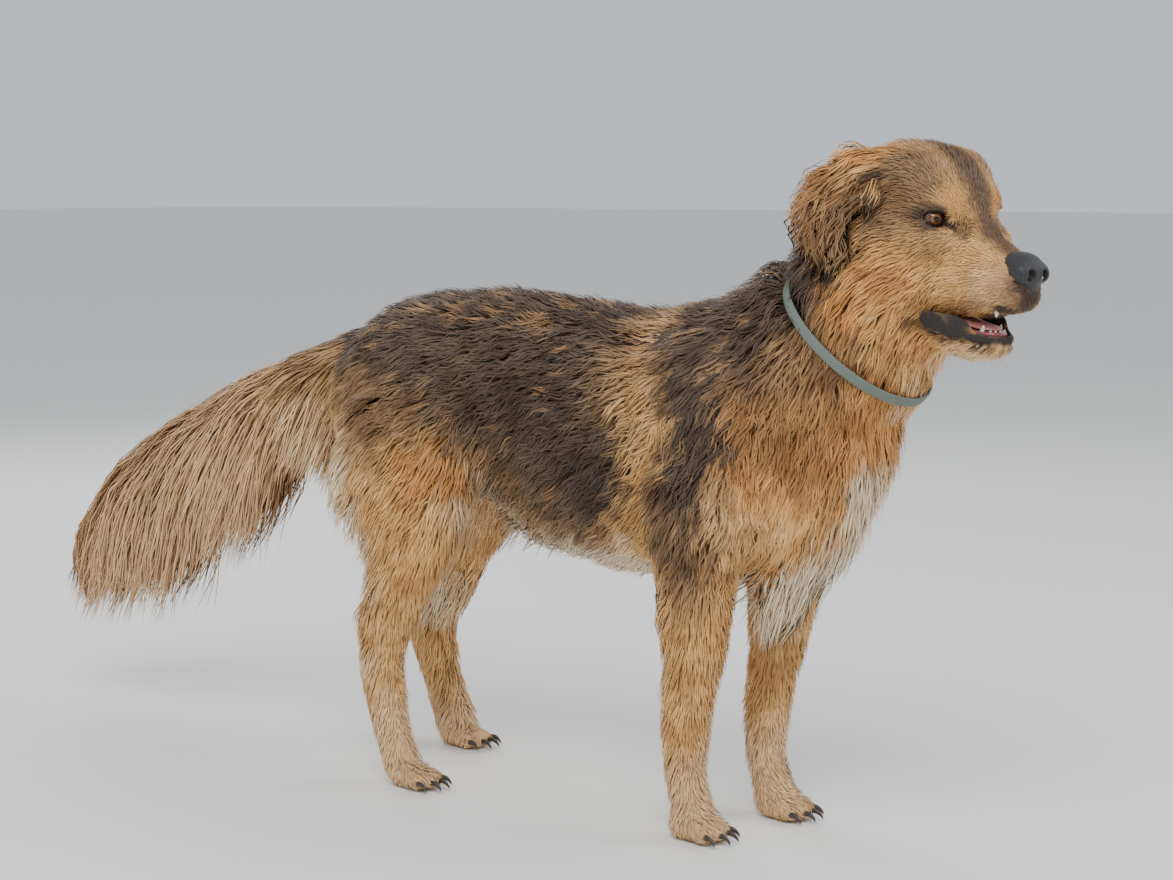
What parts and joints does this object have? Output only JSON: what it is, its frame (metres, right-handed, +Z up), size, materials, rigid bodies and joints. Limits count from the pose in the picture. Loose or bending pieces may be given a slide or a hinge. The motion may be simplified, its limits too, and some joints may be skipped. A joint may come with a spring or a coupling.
{
  "type": "dog",
  "caption": "Standing long-coated dog with folded-back ears, slightly open mouth, plumed tail and a plain narrow collar, as a life-size still model.",
  "frame": {"origin": "middle of the bounding box's base, on the floor under the dog", "axes": "+X towards the nose, +Y to the dog's left, +Z up"},
  "size_m": [1.5631, 0.2987, 0.8134],
  "materials": {
    "coat": "long tan, brown and cream hair",
    "nose_leather": "moist pebbled bare skin",
    "eye": "clear amber-brown, glossy",
    "flesh": "moist pink",
    "claw": "dark horn",
    "webbing": "pale grey-green woven band"
  },
  "bodies": {
    "root": {"collar": "webbing", "collar_keeper": "webbing", "ear_left": "coat", "ear_right": "coat", "eye_left": "eye", "eye_right": "eye", "foreleg_left_claw_1": "claw", "foreleg_left_claw_2": "claw", "foreleg_left_claw_3": "claw", "foreleg_left_claw_4": "claw", "foreleg_left_lower": "coat", "foreleg_left_paw": "coat", "foreleg_left_upper": "coat", "foreleg_right_claw_1": "claw", "foreleg_right_claw_2": "claw", "foreleg_right_claw_3": "claw", "foreleg_right_claw_4": "claw", "foreleg_right_lower": "coat", "foreleg_right_paw": "coat", "foreleg_right_upper": "coat", "head": "coat", "hind_leg_left_claw_1": "claw", "hind_leg_left_claw_2": "claw", "hind_leg_left_claw_3": "claw", "hind_leg_left_claw_4": "claw", "hind_leg_left_lower": "coat", "hind_leg_left_paw": "coat", "hind_leg_left_upper": "coat", "hind_leg_right_claw_1": "claw", "hind_leg_right_claw_2": "claw", "hind_leg_right_claw_3": "claw", "hind_leg_right_claw_4": "claw", "hind_leg_right_lower": "coat", "hind_leg_right_paw": "coat", "hind_leg_right_upper": "coat", "lower_jaw": "coat", "neck": "coat", "nose": "nose_leather", "tail_middle": "coat", "tail_root": "coat", "tail_tip": "coat", "tongue": "flesh", "trunk": "coat"}
  },
  "joints": []
}
